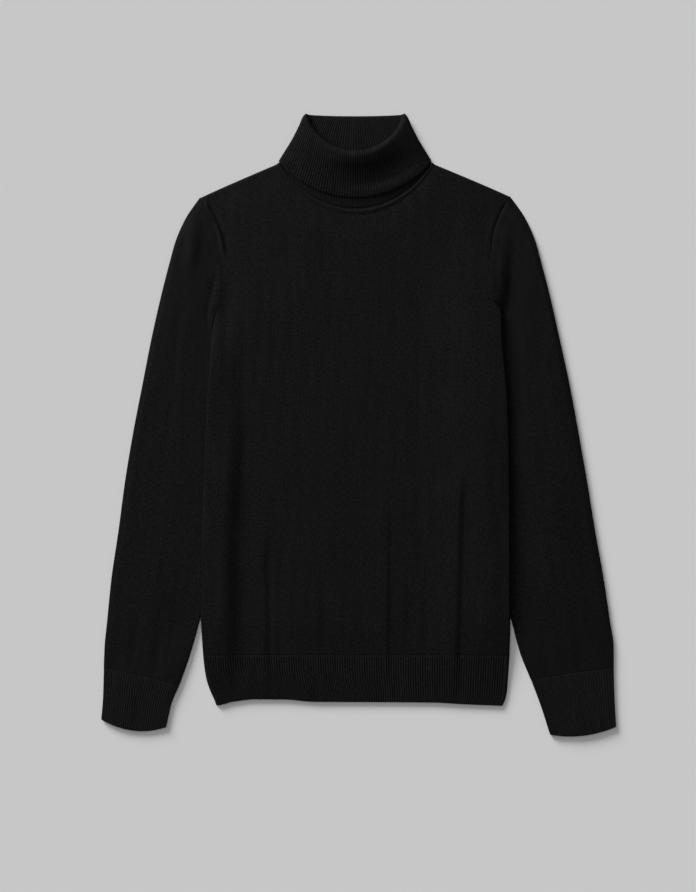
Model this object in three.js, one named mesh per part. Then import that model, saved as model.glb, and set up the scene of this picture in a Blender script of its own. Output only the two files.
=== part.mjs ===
// A fine-gauge turtleneck sweater, laid out flat with its front up.
// Millimetres. +Z is up from the surface it lies on, +Y runs to the collar, +X is right seen from above.
// "Left" pieces are on the -X side. Every wall is knitted cloth; neighbours stay SEAM_GAP apart.
import * as THREE from 'three';

// Cloth
const JERSEY = 2.0;
const RIB_CLOTH = 1.8;
const RIB_RELIEF = 0.9;
const SEAM_GAP = 0.3;
const ARMHOLE_GAP = 0.45;
const LAYER_GAP = 0.3;
const SEAM_RIDGE = 1.0;
const RIDGE_RISE = 1.4;
const RIDGE_FALL = 2.2;
const BLACK_JERSEY = { color: 0x17171a, roughness: 0.92, metalness: 0 };
const BLACK_RIB = { color: 0x141417, roughness: 0.94, metalness: 0 };

// Body
const HEM_JOIN_Y = -276;
const ARMPIT_LEFT_Y = 124.8;
const ARMPIT_RIGHT_Y = 135.6;
const SHOULDER_LEFT = { x: -189.7, y: 273 };
const SHOULDER_RIGHT = { x: 181.1, y: 274.7 };
const SHOULDER_RISE_POWER = 0.96;
const NECK_CENTRE_X = -3.6;
const NECK_HALF_WIDTH = 90.5;
const NECK_CORNER_Y = 315;
const NECK_DIP = 57.2;
const NECK_POWER = 1.6;
const BACK_NECK_DIP = 8;
const FRONT_PUFF = 1.2;
const PUFF_RUN = 42;
const HEM_PUFF = 0.35;

// How far the body's sides lie on the sleeves
const SLEEVE_FLAT = 4.5;
const SLEEVE_PUFFED = 6.2;
const BODY_LIFT = 5.4;
const LIFT_SHOULDER = 2;
const LIFT_RUN_LEFT = 30;
const LIFT_RUN_RIGHT = 62;
const LIFT_STARTS = { below: 2, full: 34 };
const LIFT_ENDS = { full: -226, none: -262 };

// Edge of a wrapped side: the front rolls down to the surface round this quarter circle
const ROLL_RADIUS = JERSEY + LAYER_GAP + JERSEY;
const ROLL_ANGLES = [0, 30, 60, 90];
const BACK_INSET_ABOVE = 5.0;
const BACK_INSET_BELOW = 2.4;

// Ribs
const HEM_RIBS = 122;
const CUFF_RIBS = 30;
const COLLAR_FRONT_RIBS = 64;
const COLLAR_BACK_RIBS = 48;
const COLUMNS_PER_RIB = 2;

// The body's side and armhole edges, from the hem join up to the shoulder points
const LEFT_EDGE = [
  { y: -276, x: -186.6 }, { y: -258, x: -187.8 }, { y: -224.4, x: -189.4 }, { y: -162, x: -188.4 },
  { y: -90, x: -186.6 }, { y: -30, x: -184.6 }, { y: 30, x: -181.8 }, { y: 90, x: -177.6 },
  { y: 124.8, x: -174.6 }, { y: 148.8, x: -165 }, { y: 165.6, x: -162.6 }, { y: 198, x: -162.6 },
  { y: 212.4, x: -163.8 }, { y: 228, x: -166.8 }, { y: 242.4, x: -172.2 }, { y: 258, x: -181.8 },
  { y: 273, x: -189.7 },
];
const RIGHT_EDGE = [
  { y: -276, x: 181.2 }, { y: -224.4, x: 182.2 }, { y: -90, x: 181.8 }, { y: -30, x: 181.2 },
  { y: 30, x: 179.4 }, { y: 78, x: 175.2 }, { y: 106, x: 172.8 }, { y: 135.6, x: 172.2 },
  { y: 148.8, x: 162 }, { y: 165.6, x: 159.6 }, { y: 198, x: 159.6 }, { y: 220.8, x: 160.2 },
  { y: 236.4, x: 163.2 }, { y: 250.8, x: 168.6 }, { y: 274.7, x: 181.1 },
];

// Rows of the body panels: 0 is the hem join, 1 the armpit, 2 the shoulder point.
const BODY_ROWS = [0, 0.035, 0.08, 0.125, 0.2, 0.31, 0.43, 0.56, 0.68, 0.76, 0.82, 0.87, 0.92, 0.96, 1];
const ARMHOLE_ROWS = [1.1, 1.24, 1.4, 1.58, 1.76, 1.9];
const ROLL_ENDS = 1.2;
const TOP_PULL_FROM = 0.8;

// Columns of the body panels between its rolled edges, as fractions of the width
const SIDE_COLUMNS = [0.03, 0.055, 0.079, 0.095, 0.111, 0.14, 0.19];
const NECK_CORNER_COLUMN = 0.2511;
const NECK_STEPS = 12;
const BACK_NECK_STEPS = 4;
const TOUCHING = 0.001;

// The largest folds of the front: soft troughs, each from its upper end to its lower end
const TROUGHS = [
  { topX: -149, topY: -50, lowX: -149, lowY: -275, halfWidth: 7, depth: 0.6 },
  { topX: 123, topY: -108, lowX: 116, lowY: -290, halfWidth: 6, depth: 1.2 },
];
const TROUGH_FADE = 45;

// The hem band's sides and lower edge
const HEM_LEFT_EDGE = [
  { y: -276, x: -186.6 }, { y: -290, x: -185.2 }, { y: -306, x: -182.6 }, { y: -320, x: -178 },
  { y: -330, x: -173.6 }, { y: -337, x: -171 },
];
const HEM_RIGHT_EDGE = [
  { y: -276, x: 181.2 }, { y: -306, x: 179.4 }, { y: -320, x: 178.4 }, { y: -330, x: 176.4 },
  { y: -337, x: 173.4 },
];
const HEM_LOWER_EDGE = [
  { x: -187, y: -336.5 }, { x: -171, y: -336.2 }, { x: -150.6, y: -331.6 }, { x: -124.2, y: -328.7 },
  { x: -89.4, y: -328.9 }, { x: -52.2, y: -331.7 }, { x: 1.8, y: -331.9 }, { x: 87, y: -332.5 },
  { x: 126.6, y: -334.6 }, { x: 173.4, y: -336.6 }, { x: 182, y: -337 },
];
const HEM_ROWS = [0, 0.45, 0.78, 1];
const HEM_PLAIN_COLUMNS = [0.3, 0.5, 0.7];

// Sleeve sections, from the armhole to the cuff: the outer fold and the underarm fold
const LEFT_SLEEVE = [
  { outerX: -189.7, outerY: 273, innerX: -174.6, innerY: 124.8 },
  { outerX: -197.4, outerY: 262.8, innerX: -175.9, innerY: 117 },
  { outerX: -207, outerY: 248.4, innerX: -176.8, innerY: 109 },
  { outerX: -219, outerY: 222, innerX: -177.5, innerY: 99 },
  { outerX: -227, outerY: 194, innerX: -176, innerY: 82 },
  { outerX: -238.2, outerY: 150, innerX: -171.5, innerY: 62 },
  { outerX: -249, outerY: 102, innerX: -168, innerY: 34 },
  { outerX: -260, outerY: 46, innerX: -165.5, innerY: 0 },
  { outerX: -270.5, outerY: -8, innerX: -164.5, innerY: -42 },
  { outerX: -280.2, outerY: -66, innerX: -165, innerY: -84 },
  { outerX: -288.2, outerY: -126, innerX: -169.5, innerY: -136 },
  { outerX: -297, outerY: -186, innerX: -180, innerY: -190 },
  { outerX: -301.8, outerY: -234, innerX: -191.5, innerY: -238 },
  { outerX: -305, outerY: -266, innerX: -203, innerY: -278 },
  { outerX: -306, outerY: -291.6, innerX: -215.4, innerY: -313.2 },
];
const RIGHT_SLEEVE = [
  { outerX: 181.1, outerY: 274.7, innerX: 172.2, innerY: 135.6 },
  { outerX: 190.2, outerY: 262.8, innerX: 174.6, innerY: 127 },
  { outerX: 199.8, outerY: 248.4, innerX: 176, innerY: 118 },
  { outerX: 211.8, outerY: 222, innerX: 176, innerY: 107 },
  { outerX: 219.6, outerY: 194, innerX: 173, innerY: 88 },
  { outerX: 231, outerY: 150, innerX: 168, innerY: 66 },
  { outerX: 241.8, outerY: 102, innerX: 163, innerY: 38 },
  { outerX: 254, outerY: 46, innerX: 159.5, innerY: 2 },
  { outerX: 264, outerY: -8, innerX: 157.5, innerY: -40 },
  { outerX: 274.2, outerY: -66, innerX: 158, innerY: -84 },
  { outerX: 284, outerY: -126, innerX: 163, innerY: -136 },
  { outerX: 294.6, outerY: -186, innerX: 172, innerY: -190 },
  { outerX: 301.8, outerY: -234, innerX: 184, innerY: -236 },
  { outerX: 306.4, outerY: -266, innerX: 193.5, innerY: -272 },
  { outerX: 306.6, outerY: -291.6, innerX: 207, innerY: -306 },
];
// Across a sleeve, 0 at its outer fold and 1 at its underarm fold. These meet the armhole's rows.
const SLEEVE_COLUMNS = ARMHOLE_ROWS.map((p) => 2 - p).reverse();
const SLEEVE_PUFF_EDGE = { flat: 0.66, full: 0.36 };
const SLEEVE_PUFF_START = 0.3;
const SLEEVE_FREE_FROM = 0.86;
const SLEEVE_FOLD_FADE = 0.08;
const HEAD_BEND_FADE = 2.2;
const HEAD_GAP_FADE = 4;
const CUFF_SAG_FROM = 2 / 3;
const SLEEVE_TROUGHS = [
  { across: 0.74, from: 0.05, to: 0.42, halfWidth: 0.1, depth: 1.0 },
  { across: 0.36, from: 0.78, to: 1.0, halfWidth: 0.1, depth: 0.9 },
];

// Cuff sections, from the join to the free edge
const LEFT_CUFF = [
  { outerX: -306, outerY: -291.6, innerX: -215.4, innerY: -313.2, sag: -1.5 },
  { outerX: -307.1, outerY: -327.6, innerX: -224.2, innerY: -334, sag: -1 },
  { outerX: -309.2, outerY: -352.5, innerX: -230.8, innerY: -362, sag: 9 },
];
const RIGHT_CUFF = [
  { outerX: 306.6, outerY: -291.6, innerX: 207, innerY: -306, sag: -1 },
  { outerX: 307.8, outerY: -330, innerX: 218.4, innerY: -336.4, sag: -1 },
  { outerX: 309.6, outerY: -361.5, innerX: 229.6, innerY: -371, sag: 6 },
];
const CUFF_HEIGHT = 5.4;
const CUFF_FOLD = 0.05;
const CUFF_PLAIN_COLUMNS = [0.2, 0.4, 0.6, 0.8];

// Stations along the collar's cloth, from its neck seam up the stand, over the fold and down to its
// free edge. halfWidth and cornerY place the loop's corners, frontDip and backDip say how far its
// front and back run below them. The heights are those of the middle of the wall.
const COLLAR_SEAM_GAP = 0.45;
const COLLAR_CENTRE_X = -4.0;
const COLLAR_PLAN = [
  { name: 'seam', halfWidth: 89.5, cornerY: 315, frontDip: 56.8, power: 1.6, backDip: 7.6 },
  { name: 'show', halfWidth: 86.6, cornerY: 321, frontDip: 43, power: 1.6, backDip: -1 },
  { name: 'stand', halfWidth: 72, cornerY: 344, frontDip: 39, power: 1.5, backDip: 0 },
  { name: 'rise', halfWidth: 56.8, cornerY: 369.6, frontDip: 46.8, power: 1.4, backDip: 2.5 },
  { name: 'fold', halfWidth: 59.4, cornerY: 372.8, frontDip: 45, power: 1.37, backDip: 3.2 },
  { name: 'fall', halfWidth: 61.9, cornerY: 369.6, frontDip: 46.8, power: 1.4, backDip: 2.5 },
  { name: 'crown', halfWidth: 66.4, cornerY: 359.5, frontDip: 43.8, power: 1.45, backDip: 1.6 },
  { name: 'turned', halfWidth: 76.5, cornerY: 340, frontDip: 37, power: 1.5, backDip: 0 },
  { name: 'edge', halfWidth: 91, cornerY: 316.8, frontDip: 43.4, power: 1.65, backDip: -5.2 },
];
const COLLAR_HEIGHTS = [
  { name: 'seam', front: 3.5, corner: 3.2, back: 0.9 },
  { name: 'show', front: 6.3, corner: 5.5, back: 3.15 },
  { name: 'stand', front: 8.2, corner: 8, back: 3.25 },
  { name: 'rise', front: 12.9, corner: 8.4, back: 3.3 },
  { name: 'fold', front: 16.6, corner: 10.6, back: 2.1 },
  { name: 'fall', front: 20.2, corner: 12.7, back: 0.9 },
  { name: 'crown', front: 18.8, corner: 12.2, back: 0.9 },
  { name: 'turned', front: 12.3, corner: 10.5, back: 0.9 },
  { name: 'edge', front: 9.3, corner: 7.7, back: 0.9 },
];
const RIBBED_STRIP_STATIONS = 2;
const CORNER_FULL_COLUMNS = 7;
const PLAIN_COLUMN_STEP = 4;
const LOOP_SAMPLES = 720;
const RIB_TURN = 1.6;

// Small maths
const mix = (a, b, t) => a + (b - a) * t;
const clamp01 = (t) => Math.min(1, Math.max(0, t));
const smooth = (t) => clamp01(t) ** 2 * (3 - 2 * clamp01(t));
const radians = THREE.MathUtils.degToRad;
const bell = (t) => Math.exp(-(t ** 2));

// A smooth curve through a table's rows: the value of one column at a place along another.
// The slopes are limited, so that it never swings past its rows.
function through(rows, alongName, valueName) {
  const sorted = [...rows].sort((a, b) => a[alongName] - b[alongName]);
  const at = sorted.map((row) => row[alongName]);
  const value = sorted.map((row) => row[valueName]);
  const last = at.length - 1;
  const chord = (i) => (value[i + 1] - value[i]) / (at[i + 1] - at[i]);
  const slope = at.map((_, i) => {
    if (i === 0) return chord(0);
    if (i === last) return chord(last - 1);
    const before = chord(i - 1);
    const after = chord(i);
    return before * after <= 0 ? 0 : (2 * before * after) / (before + after);
  });
  return (place) => {
    const p = Math.min(at[last], Math.max(at[0], place));
    let i = 0;
    while (i < last - 1 && p > at[i + 1]) i += 1;
    const run = at[i + 1] - at[i];
    const t = (p - at[i]) / run;
    const h00 = (1 + 2 * t) * (1 - t) ** 2;
    const h10 = t * (1 - t) ** 2;
    const h01 = t * t * (3 - 2 * t);
    const h11 = t * t * (t - 1);
    return h00 * value[i] + h10 * run * slope[i] + h01 * value[i + 1] + h11 * run * slope[i + 1];
  };
}

// Straight lines between knots, so that two pieces that share them meet evenly
function straightThrough(knots, curve) {
  const values = knots.map(curve);
  return (x) => {
    let i = 0;
    while (i < knots.length - 2 && x > knots[i + 1]) i += 1;
    return mix(values[i], values[i + 1], (x - knots[i]) / (knots[i + 1] - knots[i]));
  };
}

// Triangles of one closed wall
class Wall {
  constructor() {
    this.corners = [];
  }

  triangle(a, b, c) {
    this.corners.push(a, b, c);
  }

  // A grid of points, rows of equal length. It faces up where its rows go up and its columns right.
  grid(rows, turned = false) {
    for (let i = 0; i + 1 < rows.length; i += 1) {
      for (let j = 0; j + 1 < rows[i].length; j += 1) {
        const a = rows[i][j];
        const b = rows[i][j + 1];
        const c = rows[i + 1][j + 1];
        const d = rows[i + 1][j];
        if (turned) {
          this.triangle(a, c, b);
          this.triangle(a, d, c);
        } else {
          this.triangle(a, b, c);
          this.triangle(a, c, d);
        }
      }
    }
  }

  // Joins two edge lines that start and end side by side, whatever their counts
  join(over, under) {
    const overEnd = over.length - 1;
    const underEnd = under.length - 1;
    let i = 0;
    let j = 0;
    while (i < overEnd || j < underEnd) {
      const stepOver = i < overEnd ? over[i + 1].distanceToSquared(under[j]) : Infinity;
      const stepUnder = j < underEnd ? over[i].distanceToSquared(under[j + 1]) : Infinity;
      if (stepOver <= stepUnder) {
        this.triangle(over[i + 1], over[i], under[j]);
        i += 1;
      } else {
        this.triangle(over[i], under[j], under[j + 1]);
        j += 1;
      }
    }
  }

  // Closes a wall between its upper and lower face along their ends, and their sides too if it is open
  rims(over, under, tube) {
    const line = (rows, j) => rows.map((row) => row.at(j));
    this.join(over[0], under[0]);
    this.join([...over.at(-1)].reverse(), [...under.at(-1)].reverse());
    if (tube) return;
    this.join(line(over, -1), line(under, -1));
    this.join(line(over, 0).reverse(), line(under, 0).reverse());
  }

  volume() {
    let sum = 0;
    for (let i = 0; i < this.corners.length; i += 3) {
      const [a, b, c] = this.corners.slice(i, i + 3);
      sum += a.dot(b.clone().cross(c));
    }
    return sum;
  }

  mesh(name, look) {
    const outward = this.volume() > 0;
    const positions = [];
    for (let i = 0; i < this.corners.length; i += 3) {
      const [a, b, c] = this.corners.slice(i, i + 3);
      for (const point of outward ? [a, b, c] : [a, c, b]) positions.push(point.x, point.y, point.z);
    }
    const geometry = new THREE.BufferGeometry();
    geometry.setAttribute('position', new THREE.Float32BufferAttribute(positions, 3));
    geometry.computeVertexNormals();
    const piece = new THREE.Mesh(geometry, new THREE.MeshStandardMaterial(look));
    piece.name = name;
    return piece;
  }
}

function wallPiece(name, look, over, under, tube = false) {
  const wall = new Wall();
  wall.grid(over);
  wall.grid(under, true);
  wall.rims(over, under, tube);
  return wall.mesh(name, look);
}

// The body's outline
function rowY(armpitY, shoulderY, p) {
  return p <= 1 ? mix(HEM_JOIN_Y, armpitY, p) : mix(armpitY, shoulderY, p - 1);
}
const leftRowY = (p) => rowY(ARMPIT_LEFT_Y, SHOULDER_LEFT.y, p);
const rightRowY = (p) => rowY(ARMPIT_RIGHT_Y, SHOULDER_RIGHT.y, p);

// Smooth below the armpit, and straight between the armhole's rows, which the sleeve head shares
function bodyEdge(table, armpitY, toY) {
  const curve = through(table, 'y', 'x');
  const armhole = straightThrough([1, ...ARMHOLE_ROWS, 2].map(toY), curve);
  return (y) => (y < armpitY ? curve(y) : armhole(Math.min(y, toY(2))));
}
const leftEdge = bodyEdge(LEFT_EDGE, ARMPIT_LEFT_Y, leftRowY);
const rightEdge = bodyEdge(RIGHT_EDGE, ARMPIT_RIGHT_Y, rightRowY);

const neckArch = (x, power) => {
  const across = clamp01(Math.abs(x - NECK_CENTRE_X) / NECK_HALF_WIDTH);
  return (1 - across * across) ** (power / 2);
};
const neckKnots = (steps) => {
  const angles = Array.from({ length: steps + 1 }, (_, i) => Math.PI * (1 - i / steps));
  return angles.map((angle) => NECK_CENTRE_X + NECK_HALF_WIDTH * Math.cos(angle));
};
const FRONT_NECK_KNOTS = neckKnots(NECK_STEPS);
const BACK_NECK_KNOTS = neckKnots(BACK_NECK_STEPS);
const neckLine = (knots, dip, power) => (
  straightThrough(knots, (x) => NECK_CORNER_Y - dip * neckArch(x, power))
);
const frontNeckY = neckLine(FRONT_NECK_KNOTS, NECK_DIP, NECK_POWER);
const backNeckY = neckLine(BACK_NECK_KNOTS, BACK_NECK_DIP, 2);

// The top of a panel at x: a shoulder seam, or the neck seam between the neck's corners
function topY(x, neckY) {
  const leftCorner = FRONT_NECK_KNOTS[0];
  const rightCorner = FRONT_NECK_KNOTS.at(-1);
  const rise = (start, end) => {
    const t = clamp01((x - start.x) / (end - start.x));
    return mix(start.y, NECK_CORNER_Y, t ** SHOULDER_RISE_POWER);
  };
  if (x < leftCorner) return rise(SHOULDER_LEFT, leftCorner);
  if (x > rightCorner) return rise(SHOULDER_RIGHT, rightCorner);
  return neckY(x);
}

// A place on a panel: a column (a fraction of the width and an offset from a side) and a row
// (p as in BODY_ROWS, and for the top rows a distance from the top edge)
function bodyPlace(column, row, neckY) {
  const leftY = leftRowY(row.p) - row.fromTop;
  const rightY = rightRowY(row.p) - row.fromTop;
  const offset = column.offset;
  const x = mix(leftEdge(leftY), rightEdge(rightY), column.f) + offset;
  const topX = mix(SHOULDER_LEFT.x, SHOULDER_RIGHT.x, column.f) + offset;
  const rise = topY(topX, neckY) - mix(SHOULDER_LEFT.y, SHOULDER_RIGHT.y, column.f);
  const pull = smooth((row.p - TOP_PULL_FROM) / (2 - TOP_PULL_FROM));
  return { x, y: mix(leftY, rightY, column.f) + rise * pull };
}

// The underarm folds, which say where the body's sides lie on the sleeves
const leftUnderarm = through(LEFT_SLEEVE, 'innerY', 'innerX');
const rightUnderarm = through(RIGHT_SLEEVE, 'innerY', 'innerX');

// How high the body's underside lies above the surface
function bodyLift(x, y) {
  const left = x < 0;
  const past = left ? leftUnderarm(y) - x : x - rightUnderarm(y);
  const armpit = left ? ARMPIT_LEFT_Y : ARMPIT_RIGHT_Y;
  const run = left ? LIFT_RUN_LEFT : LIFT_RUN_RIGHT;
  const side = smooth((past + LIFT_SHOULDER + run) / run);
  const below = smooth((armpit - LIFT_STARTS.below - y) / (LIFT_STARTS.full - LIFT_STARTS.below));
  const above = smooth((y - LIFT_ENDS.none) / (LIFT_ENDS.full - LIFT_ENDS.none));
  return BODY_LIFT * side * below * above;
}

// How far the front panel stands clear of the back, with its soft folds
function frontPuff(x, y, fromSide, fromTop) {
  const inside = smooth(fromSide / PUFF_RUN) * smooth(fromTop / PUFF_RUN);
  const hem = mix(HEM_PUFF, 1, smooth((y - HEM_JOIN_Y) / PUFF_RUN));
  const sink = TROUGHS.reduce((sum, fold) => {
    const t = (fold.topY - y) / (fold.topY - fold.lowY);
    const centre = mix(fold.topX, fold.lowX, t);
    const above = smooth((fold.topY + TROUGH_FADE - y) / TROUGH_FADE);
    const below = smooth((y - fold.lowY + TROUGH_FADE) / TROUGH_FADE);
    return sum + fold.depth * above * below * bell((x - centre) / fold.halfWidth);
  }, 0);
  return Math.max(0, FRONT_PUFF * inside * hem - sink * inside);
}

// Columns along a rolled edge: each has an angle round the roll and its distance from the edge
const rollAway = (radius, angle) => radius * (1 - Math.cos(radians(angle)));
const edgeColumns = ROLL_ANGLES.map((angle) => ({ angle, away: rollAway(ROLL_RADIUS, angle) }));
const plainColumn = (f) => ({ f, side: 0, angle: 90, away: Infinity, offset: 0 });
const sideColumn = (side, edge) => ({ ...edge, f: side < 0 ? 0 : 1, side, offset: -side * edge.away });
const sideOf = (f) => (f === 0 ? -1 : f === 1 ? 1 : 0);
const mirrored = (columns) => columns.map((f) => 1 - f).reverse();

// Columns of a panel between its sides, which meet the neck's knots
function middleColumns(neckSteps) {
  const half = 0.5 - NECK_CORNER_COLUMN;
  const angles = Array.from({ length: neckSteps + 1 }, (_, i) => (Math.PI * i) / neckSteps);
  return [...SIDE_COLUMNS, ...angles.map((angle) => 0.5 - half * Math.cos(angle)), ...mirrored(SIDE_COLUMNS)];
}

const neckDepth = (f) => Math.min(f - NECK_CORNER_COLUMN, 1 - NECK_CORNER_COLUMN - f);
const inNeck = (f) => neckDepth(f) > -TOUCHING;
const atNeckCorner = (f) => Math.abs(neckDepth(f)) < TOUCHING;
const topRows = [...edgeColumns].reverse().map(({ angle, away }) => ({ p: 2, fromTop: away, angle }));
const frontRows = [
  ...[...BODY_ROWS, ...ARMHOLE_ROWS].map((p) => ({ p, fromTop: 0, angle: 90 })),
  ...topRows,
];
// The raised, linked seam along an armhole or the neck, by the distance from it
const ridgeAt = (away) => (
  SEAM_RIDGE * smooth(0.5 + away / RIDGE_RISE) * smooth((ROLL_RADIUS - away) / RIDGE_FALL)
);

// One point of the front panel's outer or inner face
function frontPoint(column, row, inner) {
  const sideRolled = row.p <= 1 ? 1 : 0;
  const topRolled = inNeck(column.f) ? 0 : 1;
  const radius = ROLL_RADIUS - (inner ? JERSEY : 0);
  const rolledIn = (angle) => ROLL_RADIUS - radius + rollAway(radius, angle);
  const sideIn = column.side ? mix(column.away, rolledIn(column.angle), sideRolled) : 0;
  const topIn = row.p === 2 ? mix(row.fromTop, rolledIn(row.angle), topRolled) : 0;
  const moved = { ...column, offset: -column.side * sideIn };
  const place = bodyPlace(moved, { ...row, fromTop: topIn }, frontNeckY);
  const x = place.x;
  const y = row.p === 0 ? place.y + SEAM_GAP / 2 : place.y;
  const fromSide = Math.min(x - leftEdge(y), rightEdge(y) - x);
  const top = topY(x, frontNeckY);
  const puff = frontPuff(x, y, fromSide, top - y);
  const sideDrop = column.side ? sideRolled * radius * (1 - Math.sin(radians(column.angle))) : 0;
  const topDrop = topRolled * radius * (1 - Math.sin(radians(row.angle)));
  const ridge = inner ? 0 : Math.max(
    column.side ? (1 - sideRolled) * ridgeAt(column.away) : 0,
    row.p === 2 ? (1 - topRolled) * ridgeAt(row.fromTop) : 0,
  );
  const floor = bodyLift(x, y);
  return new THREE.Vector3(x, y, Math.max(floor, floor + radius + puff + ridge - sideDrop - topDrop));
}

function frontPanel() {
  const sides = (side) => edgeColumns.map((edge) => sideColumn(side, edge));
  const columns = [...sides(-1), ...middleColumns(NECK_STEPS).map(plainColumn), ...sides(1).reverse()];
  const face = (inner) => frontRows.map((row) => columns.map((column) => frontPoint(column, row, inner)));
  return wallPiece('front_panel', BLACK_JERSEY, face(false), face(true));
}

// One point of the back panel. Its edges taper into the front's roll.
function backPoint(f, row, inset, height) {
  const side = sideOf(f);
  const sideRolled = 1 - smooth((row.p - 1) / (ROLL_ENDS - 1));
  const topRolled = atNeckCorner(f) ? 0.5 : inNeck(f) ? 0 : 1;
  const offset = -side * inset * sideRolled;
  const fromTop = row.p === 2 ? inset * topRolled : 0;
  const place = bodyPlace({ f, offset }, { p: row.p, fromTop }, backNeckY);
  const y = row.p === 0 ? place.y + SEAM_GAP / 2 : place.y;
  return new THREE.Vector3(place.x, y, bodyLift(place.x, y) + height);
}

function backPanel() {
  const columns = [0, ...middleColumns(BACK_NECK_STEPS), 1];
  const rows = [...BODY_ROWS, ...ARMHOLE_ROWS, 2].map((p) => ({ p }));
  const face = (inset, height) => rows.map((row) => columns.map((f) => backPoint(f, row, inset, height)));
  const over = face(BACK_INSET_ABOVE, JERSEY);
  const under = face(BACK_INSET_BELOW, 0);
  return wallPiece('back_panel', BLACK_JERSEY, over, under);
}

// The hem band's two layers
const hemLeft = through(HEM_LEFT_EDGE, 'y', 'x');
const hemRight = through(HEM_RIGHT_EDGE, 'y', 'x');
const hemLower = through(HEM_LOWER_EDGE, 'x', 'y');

const hemMiddle = [...SIDE_COLUMNS, ...HEM_PLAIN_COLUMNS, ...mirrored(SIDE_COLUMNS)];

function hemPlace(column, q) {
  const sideY = mix(HEM_JOIN_Y, column.f < 0.5 ? HEM_LEFT_EDGE.at(-1).y : HEM_RIGHT_EDGE.at(-1).y, q);
  const x = mix(hemLeft(sideY), hemRight(sideY), column.f) + column.offset;
  return { x, y: mix(HEM_JOIN_Y - SEAM_GAP / 2, hemLower(x), q) };
}

function hemPoint(column, q, inner) {
  const radius = ROLL_RADIUS - (inner ? JERSEY : 0);
  const inset = column.side ? ROLL_RADIUS - radius + rollAway(radius, column.angle) : 0;
  const { x, y } = hemPlace({ f: column.f, offset: -column.side * inset }, q);
  const sideY = mix(HEM_JOIN_Y, hemLower(0), q);
  const fromSide = Math.min(x - hemLeft(sideY), hemRight(sideY) - x);
  const drop = column.side ? radius * (1 - Math.sin(radians(column.angle))) : 0;
  const puff = frontPuff(x, HEM_JOIN_Y, fromSide, PUFF_RUN) * (1 - q / 2);
  const rib = inner ? 0 : (column.rib - 0.5) * RIB_RELIEF;
  const floor = bodyLift(x, y);
  return new THREE.Vector3(x, y, Math.max(floor, floor + radius + puff + rib - drop));
}

function frontHem() {
  const sides = (side) => edgeColumns.map((edge) => ({ ...sideColumn(side, edge), rib: 0.5 }));
  const count = HEM_RIBS * COLUMNS_PER_RIB;
  const first = ROLL_RADIUS / (RIGHT_EDGE[0].x - LEFT_EDGE[0].x);
  const ribColumns = Array.from({ length: count - 1 }, (_, i) => ({
    ...plainColumn(mix(first, 1 - first, (i + 1) / count)), rib: i % COLUMNS_PER_RIB ? 0 : 1,
  }));
  const over = [...sides(-1), ...ribColumns, ...sides(1).reverse()];
  const under = [...sides(-1), ...hemMiddle.map(plainColumn), ...sides(1).reverse()];
  const face = (columns, inner) => HEM_ROWS.map((q) => columns.map((column) => hemPoint(column, q, inner)));
  return wallPiece('front_hem_rib', BLACK_RIB, face(over, false), face(under, true));
}

function backHem() {
  const columns = [0, ...hemMiddle, 1];
  const face = (inset, height) => HEM_ROWS.map((q) => columns.map((f) => {
    const { x, y } = hemPlace({ f, offset: -sideOf(f) * inset }, q);
    return new THREE.Vector3(x, y, bodyLift(x, y) + height);
  }));
  return wallPiece('back_hem_rib', BLACK_RIB, face(BACK_INSET_ABOVE, JERSEY), face(BACK_INSET_BELOW, 0));
}

// A flattened tube's section: over its top from the outer fold to the inner one, round the inner fold,
// back underneath, and round the outer fold. place(across) gives the plan, height(across) the top.
const FOLD_ARC = [90, 45, 0, -45, -90];
function tubeSection({ place, height, width, inset, columns, low, rib = () => 0 }) {
  const foldPoint = (end, angle) => {
    const radius = height(end) / 2;
    const inner = radius - inset;
    const away = (radius - inner * Math.cos(radians(angle))) / width;
    const { x, y } = place(end === 0 ? away : 1 - away);
    return new THREE.Vector3(x, y, radius + inner * Math.sin(radians(angle)));
  };
  const flat = (across, z) => {
    const { x, y } = place(across);
    return new THREE.Vector3(x, y, z);
  };
  return [
    ...columns.map((w, i) => flat(w, height(w) - inset + rib(i))),
    ...FOLD_ARC.map((angle) => foldPoint(1, angle)),
    ...[...low].reverse().map((w) => flat(w, inset)),
    ...[...FOLD_ARC].reverse().map((angle) => foldPoint(0, angle)),
  ];
}
const closed = (loop) => [...loop, loop[0]];

function sleeveHeight(across, down) {
  const grown = smooth(down / SLEEVE_PUFF_START);
  const { flat, full } = SLEEVE_PUFF_EDGE;
  const freed = smooth((down - SLEEVE_FREE_FROM) / (1 - SLEEVE_FREE_FROM));
  const puffed = mix(smooth((flat - across) / (flat - full)), 1, freed);
  const sink = SLEEVE_TROUGHS.reduce((sum, fold) => {
    const begins = smooth((down - fold.from) / SLEEVE_FOLD_FADE);
    const ends = smooth((fold.to - down) / SLEEVE_FOLD_FADE + 1);
    return sum + fold.depth * begins * ends * bell((across - fold.across) / fold.halfWidth);
  }, 0);
  return Math.max(SLEEVE_FLAT, mix(SLEEVE_FLAT, SLEEVE_PUFFED, grown * puffed) - sink * grown);
}

// A place on a section, 0 at its outer fold and 1 at its inner one. sag bows it towards the hand.
function across2d(row, sag, across) {
  return {
    x: mix(row.outerX, row.innerX, across),
    y: mix(row.outerY, row.innerY, across) - sag * 4 * across * (1 - across),
  };
}
const sectionWidth = (row) => Math.hypot(row.outerX - row.innerX, row.outerY - row.innerY);

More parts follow.
